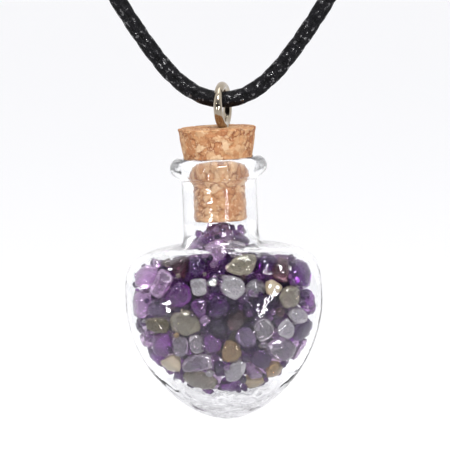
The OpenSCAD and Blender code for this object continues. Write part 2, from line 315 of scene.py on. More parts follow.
class Look(Nodes):
    """A material with one shader, whose patterns are sized per metre and ride with their piece."""

    def __init__(self, name, **inputs):
        self.material = bpy.data.materials.new(name)
        self.material.use_nodes = True
        super().__init__(self.material.node_tree)
        self.out = self.add("ShaderNodeOutputMaterial")
        self.shader = self.add("ShaderNodeBsdfPrincipled", **inputs)
        self.feed(self.out.inputs["Surface"], self.shader.outputs[0])
        self.place = self.add("ShaderNodeTexCoord").outputs["Object"]

    def set(self, **inputs):
        """Feed the shader's inputs."""
        self.feed_all(self.shader, inputs)

    def noise(self, scale, detail=3.0, roughness=0.55, place=None, distortion=0.0, output="Fac"):
        """A cloudy pattern with scale humps to the metre."""
        node = self.add("ShaderNodeTexNoise", Vector=place or self.place, Scale=scale, Detail=detail,
                        Roughness=roughness, Distortion=distortion)
        return node.outputs[output]

    def stored(self, name):
        """The values that a piece keeps under a name."""
        return self.add("ShaderNodeAttribute", {"attribute_name": name}).outputs["Fac"]

    def bump(self, height, strength, distance, normal=None):
        """Normals of a relief, laid over those of another one if it is given."""
        node = self.add("ShaderNodeBump", Height=height, Strength=strength, Distance=distance)
        if normal:
            self.feed(node.inputs["Normal"], normal)
        return node.outputs[0]


# Grey swirls in the glass: their top in the pendant's own frame, and over what height they fade in
SWIRL_TOP = -32.8
SWIRL_FADE = 2


def glass_look():
    """Clear glass with painted shade at its rims, and grey swirls in its thick bottom."""
    look = Look("clear_glass_look", Roughness=0.0, IOR=1.42, Transmission_Weight=1.0)
    facing = look.add("ShaderNodeLayerWeight", Blend=0.5).outputs["Facing"]
    # Painted shade: the glass's colour darkens towards its rims, where its surface turns side-on
    tint = look.ramp(facing, [
        (0, (0.99, 0.995, 1, 1)),
        (0.5, (0.98, 0.985, 0.99, 1)),
        (0.68, (0.91, 0.915, 0.92, 1)),
        (0.84, (0.72, 0.71, 0.7, 1)),
        (1, (0.28, 0.26, 0.25, 1)),
    ])
    height = look.add("ShaderNodeSeparateXYZ", Vector=look.place).outputs["Z"]
    below = look.math("SUBTRACT", (SWIRL_TOP - LOOP_DROP) * MM, height)
    low = look.math("MULTIPLY", below, 1 / (SWIRL_FADE * MM), clamp=True)
    flat = look.add("ShaderNodeMapping", Vector=look.place, Scale=(0.6, 1, 3.2)).outputs[0]
    streaks = look.noise(330, 4, 0.6, place=flat, distortion=1.6)
    swirl = look.ramp(streaks, [(0.4, 0.14), (0.49, 0.95), (0.54, 0.18), (0.66, 0.8)])
    look.set(Base_Color=look.mix(look.math("MULTIPLY", low, swirl), tint, (0.4, 0.39, 0.41, 1)))
    ripples = look.bump(look.noise(1100, 2), 0.25, 0.0001)
    look.set(Normal=look.bump(look.noise(260, 2), 0.2, 0.0004, ripples))
    # Shadow and diffuse rays go straight through, a little dimmed at the rims
    dim = look.ramp(facing, [
        (0, (0.97, 0.98, 0.985, 1)),
        (0.7, (0.9, 0.91, 0.92, 1)),
        (1, (0.55, 0.56, 0.58, 1)),
    ])
    clear = look.add("ShaderNodeBsdfTransparent", Color=dim)
    path = look.add("ShaderNodeLightPath")
    straight = look.math("MAXIMUM", path.outputs["Is Shadow Ray"], path.outputs["Is Diffuse Ray"])
    both = look.add("ShaderNodeMixShader", Fac=straight)
    look.feed(both.inputs[1], look.shader.outputs[0])
    look.feed(both.inputs[2], clear.outputs[0])
    look.feed(look.out.inputs["Surface"], both.outputs[0])
    return look.material


def cord_look():
    """Black cotton under wax, which shines on the crests of the braid, with painted shade in the gaps
    between strands.
    """
    look = Look("waxed_cord_look", Specular_IOR_Level=0.08, Coat_Roughness=0.12, Coat_IOR=2.0)
    crest = look.stored("crest")
    # Painted shade: the colour is darker in the gaps between strands than on their crests, varied at random
    shade = look.math("MULTIPLY", crest, look.noise(2200, 4))
    look.set(Base_Color=look.ramp(shade, [(0.15, srgb(2, 2, 3)), (0.6, srgb(22, 21, 25))]))
    look.set(Roughness=look.ramp(look.noise(4200, 2), [(0.42, 0.62), (0.62, 0.24)]))
    fine = look.bump(look.noise(5200, 2), 0.6, 0.0001)
    bumps = look.bump(look.noise(1700, 2), 0.6, 0.0003, fine)
    # The wax lies in small flat facets, and those that face a lamp sparkle
    cells = look.add("ShaderNodeTexVoronoi", Vector=look.place, Scale=2600.0)
    tilt = look.vector("MULTIPLY_ADD", cells.outputs["Color"], (0.36, 0.36, 0.36), (-0.18, -0.18, -0.18))
    facet = look.vector("NORMALIZE", look.vector("ADD", bumps, tilt))
    waxed = look.math("MULTIPLY", crest, look.noise(2300, 2))
    look.set(Normal=bumps, Coat_Normal=facet, Coat_Weight=look.ramp(waxed, [(0.48, 0.02), (0.54, 1.0)]))
    return look.material


def steel_look(name, tone):
    """Plated metal, a little darker and duller in places."""
    look = Look(name, Metallic=1.0)
    darker = [v - 16 for v in tone]
    look.set(Base_Color=look.ramp(look.noise(900, 3), [(0.3, srgb(*darker)), (0.75, srgb(*tone))]))
    look.set(Roughness=look.ramp(look.noise(1800, 4), [(0.3, 0.05), (0.8, 0.16)]))
    look.set(Normal=look.bump(look.noise(1500, 3), 0.2, 0.00005))
    return look.material


def cork_look():
    """Pressed cork: bent grains of several browns, with dark seams and veins and pale flecks."""
    look = Look("cork_look", Specular_IOR_Level=0.25)
    grain_scale = 1050.0
    bend = look.vector("MULTIPLY", look.noise(1300, 4, 0.65, output="Color"), (0.0011, 0.0011, 0.0011))
    bent = look.vector("ADD", look.place, bend)
    cells = look.add("ShaderNodeTexVoronoi", {"feature": "SMOOTH_F1"}, Vector=bent, Scale=grain_scale,
                     Smoothness=0.25)
    tone = look.add("ShaderNodeSeparateColor", Color=cells.outputs["Color"])
    grains = look.ramp(tone.outputs[0], [
        (0, srgb(166, 110, 73)),
        (0.3, srgb(178, 129, 89)),
        (0.6, srgb(186, 141, 100)),
        (0.85, srgb(196, 156, 118)),
        (1, srgb(206, 173, 138)),
    ])
    edge = look.add("ShaderNodeTexVoronoi", {"feature": "DISTANCE_TO_EDGE"}, Vector=bent, Scale=grain_scale)
    seam = look.ramp(edge.outputs["Distance"], [(0, 1.0), (0.05, 0.55), (0.13, 0.0)])
    some = look.ramp(look.noise(700, 2), [(0.44, 0.0), (0.56, 1.0)])
    colour = look.mix(look.math("MULTIPLY", seam, some), grains, srgb(122, 66, 40))
    veins = look.ramp(look.noise(1500, 5, 0.65, distortion=0.6), [(0.56, 0.0), (0.7, 0.75)])
    colour = look.mix(veins, colour, srgb(166, 108, 66))
    pale = look.ramp(look.noise(3200, 3), [(0.55, 0.0), (0.75, 0.5)])
    colour = look.mix(pale, colour, srgb(248, 222, 186))
    look.set(Base_Color=colour, Roughness=look.ramp(look.noise(1400, 3), [(0.3, 0.7), (0.8, 0.92)]))
    rough = look.bump(look.noise(3600, 5, 0.7), 0.45, 0.00012)
    look.set(Normal=look.bump(look.math("SUBTRACT", 1.0, seam), 0.3, 0.0001, rough))
    return look.material


def stone_look(name, light, dark, clear):
    """A tumbled stone: cloudy, veined and a little see-through."""
    look = Look(name, IOR=1.46, Transmission_Weight=clear, Coat_Weight=0.25, Coat_Roughness=0.02)
    cloud = look.math("MULTIPLY", look.noise(520, 4, 0.6, distortion=0.4), 0.65)
    shade = look.math("ADD", cloud, look.math("MULTIPLY", look.stored("tint"), 0.5))
    colour = look.ramp(shade, [(0.25, srgb(*dark)), (0.75, srgb(*light))])
    veil = look.ramp(look.noise(1100, 3), [(0.58, 0.0), (0.8, 0.25)])
    look.set(Base_Color=look.mix(veil, colour, srgb(235, 230, 240)))
    look.set(Roughness=look.ramp(look.noise(1600, 3), [(0.35, 0.036), (0.7, 0.102)]))
    look.set(Normal=look.bump(look.noise(1500, 3), 0.5, 0.0001))
    return look.material


# Cord: one loop from one cap of the clasp through the eye to the other

HALF_ROUTE = [
    (0, -144), (2, -143.7), (4, -142.7), (6, -141), (8, -138.6),
    (10, -135.8), (12.5, -131.9), (18, -122.9), (31.8, -100.3), (45.5, -78.5),
    (53.3, -65.5), (58.5, -54.5), (61.4, -44.5), (62.1, -35), (60, -25.5),
    (54.3, -16.6), (46, -9.6), (35, -4.2), (24.3, -1.1), (15, 0),
]
CORD_STEP = 0.2
CORD_SIDES = 36
BRAID_STRANDS = 4
BRAID_PITCH = 3
# Depth of the gaps between strands, as a share of the cord's radius
BRAID_DEPTH = 0.2
# How much lower a strand is where it passes under another, and how flat its back is
BRAID_UNDER = 0.45
BRAID_POWER = 0.6


def cord_line():
    """Points along the cord, in millimetres, CORD_STEP apart or less."""
    left = [(-x, 0, z) for x, z in HALF_ROUTE[:0:-1]]
    route = np.array(left + [(x, 0, z) for x, z in HALF_ROUTE], float)
    span = np.diff(route, axis=0)
    length = np.linalg.norm(span, axis=1)
    unit = span / length[:, None]
    heading = np.zeros_like(route)
    heading[1:-1] = unit[:-1] * length[1:, None] + unit[1:] * length[:-1, None]
    # At both caps the cord runs level, towards -X
    heading[0] = heading[-1] = (-1, 0, 0)
    heading /= np.linalg.norm(heading, axis=1)[:, None]
    points = []
    for i, reach in enumerate(length):
        steps = math.ceil(reach / CORD_STEP)
        for t in np.arange(steps) / steps:
            points.append((2 * t**3 - 3 * t**2 + 1) * route[i] + (t**3 - 2 * t**2 + t) * reach * heading[i]
                          + (3 * t**2 - 2 * t**3) * route[i + 1] + (t**3 - t**2) * reach * heading[i + 1])
    points.append(route[-1])
    return np.array(points)


def braid(u, v):
    """Height, from 0 to 1, of two families of strands that cross, one over the other in turn."""
    one = np.abs(np.sin(math.pi * (u + v)))
    two = np.abs(np.sin(math.pi * (u - v)))
    over = 0.5 + 0.5 * np.sin(2 * math.pi * u) * np.sin(2 * math.pi * v)
    return np.maximum(one**BRAID_POWER * (1 - BRAID_UNDER + BRAID_UNDER * over),
                      two**BRAID_POWER * (1 - BRAID_UNDER * over))


def make_cord():
    """The cord, its middle line and its length."""
    line = cord_line()
    along = np.concatenate([[0], np.cumsum(np.linalg.norm(np.diff(line, axis=0), axis=1))])
    ahead = np.gradient(line, axis=0)
    ahead /= np.linalg.norm(ahead, axis=1)[:, None]
    side = np.stack([-ahead[:, 2], np.zeros(len(line)), ahead[:, 0]], 1)
    back = np.array([0, 1, 0])
    a = np.arange(CORD_SIDES) * 2 * math.pi / CORD_SIDES
    height = braid(*np.meshgrid(a / (2 * math.pi) * BRAID_STRANDS, along / BRAID_PITCH))
    radius = CORD_D / 2 * (1 - BRAID_DEPTH + BRAID_DEPTH * height)
    outward = np.cos(a)[None, :, None] * side[:, None] + np.sin(a)[None, :, None] * back
    points = (line[:, None] + radius[..., None] * outward).reshape(-1, 3)
    cord = new_piece("waxed_cord", points, grid_faces(len(line), CORD_SIDES, True), [cord_look()],
                     "necklace", ["cord"])
    store(cord, "crest", height.ravel())
    return cord, line, along[-1]


# Clasp: two caps, joined by bars to a ring between them

CAP_SIDES = 48
CAP_EDGE = 0.25
GROOVE_FROM_END = 1.5
GROOVE_HALF = 0.3
GROOVE_DEPTH = 0.18
CAP_TAPER = 1.2
BAR_FLARE = 0.2
CLASP_ROUNDING = 0.12
CLASP_RING_SIDES = (72, 24)


def clasp_half():
    """Profile of one cap and its bar, as (radius, distance from the clasp's middle)."""
    end = CLASP_LEN / 2
    foot = end - CAP_LEN
    groove = end - GROOVE_FROM_END
    r, bar_r = CAP_D / 2, CLASP_BAR / 2
    return round_profile([
        (0, end), (r - CAP_EDGE, end), (r, end - CAP_EDGE),
        (r, groove + GROOVE_HALF), (r - GROOVE_DEPTH, groove), (r, groove - GROOVE_HALF),
        (r, foot + CAP_TAPER), (r - CAP_EDGE, foot + CAP_TAPER / 3), (bar_r + CAP_EDGE, foot),
        (bar_r, foot - BAR_FLARE), (bar_r, CLASP_RING_D / 2), (0, CLASP_RING_D / 2),
    ], CLASP_ROUNDING)


def make_clasp():
    """The clasp as one piece."""
    half = clasp_half()
    turned = lathe(half, CAP_SIDES)
    parts = []
    for side in (-1, 1):
        cap = np.stack([side * turned[:, 2], turned[:, 1], turned[:, 0]], 1)
        parts.append((cap, grid_faces(len(half), CAP_SIDES)))
    ring, faces = torus(CLASP_RING_D / 2, CLASP_WIRE / 2, *CLASP_RING_SIDES)
    parts.append((ring[:, [1, 0, 2]], faces))
    points, faces = join_parts(parts)
    look = steel_look("clasp_metal_look", (205, 206, 208))
    return new_piece("clasp_caps_and_ring", points, faces, [look], "necklace", ["clasp"])


# Screw eye: its ring round the cord and its shank inside the cork

SHANK_POINT_LEN = 1
SHANK_POINT_R = 0.25
SHANK_ROUNDING = 0.1
SHANK_SIDES = 32
EYE_SIDES = (160, 40)


def make_eye():
    """The screw eye as one piece."""
    ring, faces = torus(EYE_R, EYE_WIRE / 2, *EYE_SIDES)
    c, s = math.cos(-EYE_TURN), math.sin(-EYE_TURN)
    x, y, z = ring.T
    ring = np.stack([x * c - y * s, x * s + y * c, z + EYE_Z], 1)
    top = EYE_Z - EYE_R
    low = top - SHANK_LEN
    shank = round_profile([
        (0, top), (SHANK_D / 2, top), (SHANK_D / 2, low + SHANK_POINT_LEN), (SHANK_POINT_R, low), (0, low),
    ], SHANK_ROUNDING)
    shank_part = (lathe(shank, SHANK_SIDES), grid_faces(len(shank), SHANK_SIDES))
    points, faces = join_parts([(ring, faces), shank_part])
    look = steel_look("eye_metal_look", (176, 165, 148))
    new_piece("steel_screw_eye", hang(points), faces, [look], "stopper", ["screw_eye"])


# Cork: turned, rounded at its edges and pitted all over

CORK_SIDES = 200
CORK_STEP = 0.13
CORK_ROUNDING = 0.22
# Points this near the height of an end are on it
CORK_END_REACH = 0.05
# Small steep pits and wide shallow ones: size, seed, height of the noise where they start, steepness
PITS = [(0.55, 3.1, 0.12, 0.45), (1.3, 9.7, 0.2, 0.3)]
PIT_MAX = 0.16


def pit_depth(p):
    """Depth of the cork's pits at a point."""
    depth = sum(max(0.0, wobble(p, size, seed) - start) * steepness for size, seed, start, steepness in PITS)
    return min(depth, PIT_MAX)


def into_cork(p):
    """The direction from a point of the cork's surface into the cork."""
    if abs(p[2] - CORK_TOP) < CORK_END_REACH:
        return np.array([0, 0, -1])
    if abs(p[2] - CORK_LOW) < CORK_END_REACH:
        return np.array([0, 0, 1])
    return np.array([-p[0], -p[1], 0]) / math.hypot(p[0], p[1])


def make_cork():
    """The cork as one piece."""
    corners = [
        (0, CORK_TOP), (CORK_TOP_R, CORK_TOP), (CORK_LIP_R, LIP_Z),
        (CORK_LOW_R, MOUTH_Z), (CORK_LOW_R, CORK_LOW), (0, CORK_LOW),
    ]
    profile = subdivide(round_profile(corners, CORK_ROUNDING), CORK_STEP)
    points = [p + into_cork(p) * pit_depth(p) for p in lathe(profile, CORK_SIDES)]
    new_piece("cork_stopper", hang(points, -EYE_OFFSET), grid_faces(len(profile), CORK_SIDES), [cork_look()],
              "stopper", ["cork"])


# Bottle: one sheet of glass, up its outside, over the lip and down its inside

GLASS_SIDES = 168
OUTER_ROWS = (44, 36)
HOLLOW_ROWS = (40, 32)
NECK_ROWS = 8
# Turn of the lowest row away from the tip, in radians, and how evenly the shoulders' rows are spread
TIP_TURN = 0.012
SHOULDER_EASE = 0.9
# The neck's straight outside ends this far under the slope below the lip's bead. The slope's rows are
# given as (out from the neck, up from the slope's foot)
SLOPE_CLEAR = 0.5
UNDER_LIP = [(0.02, -0.1), (0.1, 0.2), (0.3, 0.45), (0.58, 0.58)]
# Rows of the edge inside the bead, as (out from the mouth's radius, up from the lip's top)
MOUTH_EDGE = [(0.02, -0.05), (-0.03, -0.2)]
# How far the mouth's taper starts below the lip and ends above its foot, and the bore starts below that
TAPER_START = 0.5
TAPER_END = 0.2
BORE_START = 0.15
# How uneven the heart is, as a share of its size
UNEVEN = 0.004
# The hollow's floor sags: how far below the widest level it starts, over what height, and how far
SAG_DROP = 6
SAG_FADE = 4
SAG = 0.4
SAG_ROUGH = 0.12


def heart_rows(heart, side_rows, shoulder_rows):
    """Rows of (half width, half depth, z, section power) from the tip up to the neck's foot."""
    rows = []
    for i in range(side_rows):
        t = math.pi / 2 * (1 - i / side_rows)
        if i == 0:
            # The lowest row is a small one round the tip
            t -= TIP_TURN
        s = math.sin(t) ** (2 / heart.side_power)
        rows.append((
            heart.half_width * math.cos(t) ** (2 / heart.side_power),
            heart.half_depth * (1 - s**DEPTH_POWER) ** (1 / DEPTH_POWER),
            WIDEST_Z - heart.drop * s,
            SECTION_POWER,
        ))
    foot_turn = math.acos((heart.foot_r / heart.half_width) ** (SHOULDER_POWER / 2))
    top = math.sin(foot_turn) ** (2 / SHOULDER_POWER)
    for i in range(shoulder_rows + 1):
        s = top * math.sin(math.pi / 2 * i / shoulder_rows) ** SHOULDER_EASE
        rows.append((
            heart.half_width * (1 - s**SHOULDER_POWER) ** (1 / SHOULDER_POWER),
            heart.half_depth - (heart.half_depth - heart.foot_r) * s * s,
            WIDEST_Z + heart.rise * s,
            SECTION_POWER,
        ))
    return rows


def foot_rows():
    """Rows of the neck's foot, a quarter of an ellipse that turns from the heart's section to a circle."""
    rows = []
    for i in range(1, NECK_ROWS + 1):
        a = math.pi / 2 * (1 - i / NECK_ROWS)
        r = NECK_R + (OUTER.foot_r - NECK_R) * (1 - math.cos(a))
        power = SECTION_POWER + (2 - SECTION_POWER) * i / NECK_ROWS
        rows.append((r, r, SHOULDER_Z + FOOT_H * (1 - math.sin(a)), power))
    return rows


def neck_profile():
    """(radius, z) up the neck's outside, over the lip's round bead and down the mouth's taper."""
    foot_top = SHOULDER_Z + FOOT_H
    slope = LIP_Z - LIP_H
    rise = slope - SLOPE_CLEAR - foot_top
    neck = [(NECK_R, foot_top + rise * i / NECK_ROWS) for i in range(1, NECK_ROWS + 1)]
    neck += [(NECK_R + out, slope + up) for out, up in UNDER_LIP]
    bead_mid, bead_z = LIP_R - BEAD_R, LIP_Z - BEAD_R
    for a in np.radians(np.arange(-60, 91, 10)):
        neck.append((bead_mid + BEAD_R * math.cos(a), bead_z + BEAD_R * math.sin(a)))
    neck += [(MOUTH_R + out, LIP_Z + up) for out, up in MOUTH_EDGE]
    taper = (MOUTH_R - BORE_R) / MOUTH_LEN
    depths = np.linspace(TAPER_START, MOUTH_LEN - TAPER_END, NECK_ROWS)
    return neck + [(MOUTH_R - taper * depth, LIP_Z - depth) for depth in depths]


def bore_profile():
    """(radius, z) down the bore and its flare into the hollow."""
    top = MOUTH_Z - BORE_START
    low = WIDEST_Z + HOLLOW.rise
    bore = [(BORE_R, top - (top - low - BORE_FOOT_H) * i / NECK_ROWS) for i in range(NECK_ROWS + 1)]
    for t in (0.2, 0.4, 0.6, 0.8):
        bore.append((BORE_R + (HOLLOW.foot_r - BORE_R) * t * t, low + BORE_FOOT_H * (1 - t)))
    return bore


def round_rows(profile):
    """A profile as rows whose sections are circles."""
    return [(r, r, z, 2) for r, z in profile]


def hollow_rows():
    """Rows of the heart's hollow from the neck's foot down to its tip."""
    return heart_rows(HOLLOW, *HOLLOW_ROWS)[::-1]


def sheet(rows):
    """Points of superellipse sections."""
    a = np.arange(GLASS_SIDES) * 2 * math.pi / GLASS_SIDES
    c, s = np.cos(a), np.sin(a)
    points = []
    for half_width, half_depth, z, power in rows:
        x = half_width * np.sign(c) * np.abs(c) ** (2 / power)
        y = half_depth * np.sign(s) * np.abs(s) ** (2 / power)
        points.append(np.stack([x, y, np.full(GLASS_SIDES, z)], 1))
    return np.concatenate(points)


def uneven(p, size, seed):
    """A point of the heart moved a little in or out, because hand-worked glass is never quite even."""
    return p * (1 + np.array([1, 1, 0]) * UNEVEN * wobble(p, size, seed))


def sag(p):
    """How much lower the hollow's floor lies at a point, in lumps."""
    low = min(1.0, max(0.0, (WIDEST_Z - SAG_DROP - p[2]) / SAG_FADE))
    return low * (SAG + SAG * wobble(p, 1.3, 2.3) + SAG_ROUGH * wobble(p, 0.6, 8.2))


def make_bottle():
    """The bottle as one piece, closed at its outer and its inner tip."""
    outside = heart_rows(OUTER, *OUTER_ROWS) + foot_rows()
    middle = round_rows(neck_profile() + bore_profile())
    inside = hollow_rows()
    points = [uneven(p, 5, 1.7) for p in sheet(outside)]
    points += list(sheet(middle))
    points += [uneven(p, 4, 6.1) - np.array([0, 0, sag(p)]) for p in sheet(inside)]
    rows = len(outside + middle + inside)
    faces = grid_faces(rows, GLASS_SIDES)
    outer_tip, inner_tip = len(points), len(points) + 1
    points += [(0, 0, WIDEST_Z - OUTER.drop), (0, 0, WIDEST_Z - HOLLOW.drop - SAG)]
    last = (rows - 1) * GLASS_SIDES
    faces += [(j, outer_tip, (j + 1) % GLASS_SIDES) for j in range(GLASS_SIDES)]
    faces += [(last + j, last + (j + 1) % GLASS_SIDES, inner_tip) for j in range(GLASS_SIDES)]
    new_piece("glass_heart", hang(points, -EYE_OFFSET), faces, [glass_look()],
              "vial", ["bottle"])


# Amethyst chips: each CAD chip as a rounded, tumbled stone

# Kinds of stone: light colour, dark colour and how much light they let through
STONES = {
    "deep": ((86, 22, 114), (40, 3, 66), 0.82),
    "purple": ((142, 75, 161), (80, 23, 111), 0.84),
    "lilac": ((212, 182, 216), (164, 128, 176), 0.87),
    "clear": ((222, 214, 221), (190, 174, 194), 0.92),
    "green": ((176, 168, 150), (138, 128, 110), 0.75),
    "blue": ((150, 126, 164), (100, 76, 124), 0.82),
    "olive": ((106, 93, 63), (63, 54, 31), 0.65),
    "brown": ((146, 103, 112), (84, 48, 64), 0.82),
    "amber": ((196, 168, 124), (147, 116, 76), 0.75),
    "cream": ((205, 192, 166), (183, 164, 132), 0.55),
    "white": ((218, 214, 216), (180, 174, 182), 0.75),
}

# Stones that the photo shows best, against the front glass: x, depth below the cord in the eye, and kind
FRONT = [
    (-1, 15, "purple"), (0.5, 15.6, "lilac"), (2.1, 16, "blue"), (-1.9, 16, "purple"),
    (-2.9, 17.1, "lilac"), (-0.5, 17.3, "lilac"), (1.5, 17.2, "purple"), (-0.8, 15.6, "lilac"),
    (0.9, 16.6, "clear"), (2.4, 19.1, "green"), (1.3, 21.6, "white"), (-4.3, 25.4, "green"),
    (8.5, 25.7, "white"), (7.2, 27, "white"), (6.2, 29.4, "clear"), (0.7, 29.3, "amber"),
    (1.3, 31.5, "white"), (5.5, 31.9, "amber"), (3, 33.4, "cream"), (-3.3, 32.7, "green"),
    (-3.5, 30.6, "clear"), (-6.4, 30.6, "cream"), (-9, 20.3, "lilac"), (-7.1, 21.2, "lilac"),
    (-5.1, 22.4, "purple"), (-2.9, 21.7, "white"), (-2.8, 23.8, "purple"), (-0.8, 24, "deep"),
    (1.1, 25.6, "brown"), (-7.8, 25.9, "olive"), (-7.4, 28.4, "purple"), (-5.2, 28.6, "clear"),
    (-3.4, 28.3, "clear"), (-1.7, 28.2, "purple"), (2.3, 27.6, "blue"), (4, 30.6, "deep"),
    (3, 31.8, "lilac"), (6.7, 20.2, "brown"), (5.8, 22, "cream"), (7.6, 23.2, "green"),
    (9, 20.6, "purple"), (5, 19.2, "deep"),
]

# How many of each kind are among a hundred stones of the mixture
SHARES = {
    "deep": 30, "purple": 32, "lilac": 14, "clear": 7, "blue": 4,
    "green": 4, "brown": 4, "white": 3, "amber": 1, "cream": 1,
}
MIXTURE = [kind for kind, share in SHARES.items() for _ in range(share)]

# Painted light: most stones are deep round a core below the widest level, then purple, then lilac; the
# others are mixed
COMMON_SHARE = 0.62
CORE_DROP = 2
DEEP_REACH = 0.5
PURPLE_REACH = 0.75
# Painted light: no stone is dark further than this below the widest level, where little lies behind it
PALE_DROP = 6
# A stone of FRONT takes the chip nearest to its place and, with this weight, to the front glass
FRONT_Y = -5
FRONT_WEIGHT = 0.3

# Rounding of the chips: power of the blend between their flats, how far it swells them, and how far
# one may stand past a flat
CHIP_POWER = 7
CHIP_FILL = 1.21
CHIP_BULGE = 0.03
# Least distance of a flat from its chip's middle
FLAT_MIN = 0.05
# Depth and size of the chips' dents, and the radius under which a stretch has none
DENT = 0.035
DENT_SIZE = 0.7
DENT_MIN_R = 0.5
# Levels of the balls that stones are made from. Chips past this share of the hollow get the finer one
FINE_BALL = 4
COARSE_BALL = 3
FINE_REACH = 0.5

# Crumbs of stone in the gaps between chips: how many places are tried, and the least and greatest radius
CRUMB_TRIES = 9000
CRUMB_MIN = 0.3
CRUMB_MAX = 0.75
# How far past the chips' middles and how near the cork they are tried, and in what share of the hollow
CRUMB_BEYOND = 1
CRUMB_UNDER_CORK = 0.2
HOLLOW_SHARE = 0.985
# Chips whose middles are nearer than this are looked at, and a crumb may sink this deep into one
CHIP_NEAR = 3.2
CRUMB_SINK = 0.1
# How close two crumbs may stand, as a share of their radii together
CRUMB_CLOSE = 0.8
# Height and size of a crumb's lumps and how much it is flattened, as shares of its radius
CRUMB_LUMP = 0.25
LUMP_SIZE = 0.9
CRUMB_SQUASH = 0.2

Hull = namedtuple("Hull", "middle normals distances")
Stone = namedtuple("Stone", "points faces kind tint")


def cad_stones():
    """The corners of each loose CAD chip, in millimetres on the bottle's own axis."""
    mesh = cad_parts["chips"].data
    raw = np.empty(len(mesh.vertices) * 3)
    mesh.vertices.foreach_get("co", raw)
    raw = raw.reshape(-1, 3) / MM
    # The mesh may hold a corner more than once
    corners, same = np.unique(raw.round(4), axis=0, return_inverse=True)
    same = same.reshape(-1)
    owner = np.arange(len(corners))

    def root(i):
        """The first corner of the chip that corner i is known to belong to."""
        while owner[i] != i:
            owner[i] = owner[owner[i]]
            i = owner[i]
        return i

    for edge in mesh.edges:
        one, two = root(same[edge.vertices[0]]), root(same[edge.vertices[1]])
        owner[max(one, two)] = min(one, two)
    groups = {}
    for i in range(len(corners)):
        groups.setdefault(root(i), []).append(corners[i])
    stones = [unhang(np.array(g), -EYE_OFFSET) for g in groups.values()]
    return sorted(stones, key=lambda s: tuple(s.mean(0).round(3)))


def hull_of(corners):
    """A chip's middle, and the outward normals and distances from it of its hull's planes."""
    work = bmesh.new()
    for c in corners:
        work.verts.new(c)
    bmesh.ops.convex_hull(work, input=work.verts)
    middle = corners.mean(0)
    work.normal_update()
    normals, distances = [], []
    for face in work.faces:
        n = np.array(face.normal)
        d = float(n @ (np.array(face.verts[0].co) - middle))
        normals.append(n if d > 0 else -n)
        distances.append(max(abs(d), FLAT_MIN))
    work.free()
    return Hull(middle, np.array(normals), np.array(distances))


def ball(level):
    """Directions and triangles of an even ball."""
    work = bmesh.new()
    bmesh.ops.create_icosphere(work, subdivisions=level, radius=1)
    work.verts.ensure_lookup_table()
    points = np.array([v.co[:] for v in work.verts])
    faces = [tuple(v.index for v in f.verts) for f in work.faces]
    work.free()
    return points, faces


def any_kind(rng):
    """A kind drawn from the mixture."""
    return MIXTURE[int(rng.integers(0, len(MIXTURE)))]


def choose_kinds(middles, rng):
    """A kind for each chip, with those of the photo where it shows them best."""
    kinds = []
    for m in middles:
        # Painted light: paler kinds towards the glass, where only a stone or two lie behind one another
        out = math.hypot(m[0] / HOLLOW.half_width, (m[2] - WIDEST_Z + CORE_DROP) / HOLLOW.drop)
        common = "deep" if out < DEEP_REACH else "purple" if out < PURPLE_REACH else "lilac"
        kind = common if rng.random() < COMMON_SHARE else any_kind(rng)
        too_dark = m[2] < WIDEST_Z - PALE_DROP and kind in ("deep", "blue")
        kinds.append("lilac" if too_dark else kind)
    for x, depth, kind in FRONT:
        aside = np.hypot(middles[:, 0] - x, middles[:, 2] + depth)
        kinds[int(np.argmin(aside + FRONT_WEIGHT * (middles[:, 1] - FRONT_Y)))] = kind
    return kinds


def near_glass(middle):
    """Whether a chip lies in the outer half of the hollow, where its shape can be seen."""
    up, down = (middle[2] - WIDEST_Z) / HOLLOW.rise, (WIDEST_Z - middle[2]) / HOLLOW.drop
    out = math.hypot(middle[0] / HOLLOW.half_width, middle[1] / HOLLOW.half_depth)
    return max(up, down, out) > FINE_REACH


def tumbled(hull, directions):
    """Points of a chip in the given directions from its middle, rounded and slightly dented."""
    facing = np.clip(directions @ hull.normals.T, 0, None) / hull.distances
    rounded = (facing**CHIP_POWER).sum(1) ** (-1 / CHIP_POWER) * CHIP_FILL
    radius = np.minimum(rounded, 1 / facing.max(1) + CHIP_BULGE)
    shape = hull.middle + radius[:, None] * directions
    radius -= [DENT * (1 + wobble(q, DENT_SIZE, 5.5)) * (r > DENT_MIN_R) for q, r in zip(shape, radius)]
    return hull.middle + radius[:, None] * directions


def glass_room(p, wall):
    """About how far a point in the hollow is from the glass, in millimetres."""
    half_width, half_depth, power = (np.interp(p[2], wall[:, 2], wall[:, k]) for k in (0, 1, 3))
    reach = (abs(p[0] / half_width) ** power + abs(p[1] / half_depth) ** power) ** (1 / power)
    return (HOLLOW_SHARE - reach) * min(half_width, half_depth)


def find_crumbs(hulls, rng):
    """Radii and middles of crumbs of stone that fit into the gaps between the chips, in millimetres."""
    wall = np.array(sorted(round_rows(bore_profile()) + hollow_rows(), key=lambda row: row[2]))
    middles = np.array([hull.middle for hull in hulls])
    low, high = middles.min(0) - CRUMB_BEYOND, middles.max(0)
    high[2] = CORK_LOW - CRUMB_UNDER_CORK
    spots = low + rng.random((CRUMB_TRIES, 3)) * (high - low)
    found = []
    for p in spots:
        room = min(CRUMB_MAX, (high[2] - p[2]) / (1 + CRUMB_LUMP))
        # The ends of the crumb's three axes and its middle stay in the hollow
        for way in ((1, 0, 0), (-1, 0, 0), (0, 1, 0), (0, -1, 0), (0, 0, 1), (0, 0, -1), (0, 0, 0)):
            room = min(room, glass_room(p + CRUMB_MIN * np.array(way), wall) + CRUMB_MIN)
        if room < CRUMB_MIN:
            continue
        for k in np.flatnonzero(np.linalg.norm(middles - p, axis=1) < CHIP_NEAR):
            beyond = (hulls[k].normals @ (p - hulls[k].middle) - hulls[k].distances).max()
            room = min(room, beyond + CRUMB_SINK)
        if room > CRUMB_MIN:
            found.append((room, *p))
    kept = []
    for room, *p in sorted(found, reverse=True):
        if all(math.dist(p, q) > CRUMB_CLOSE * (room + r) for r, q in kept):
            kept.append((room, p))
    return kept


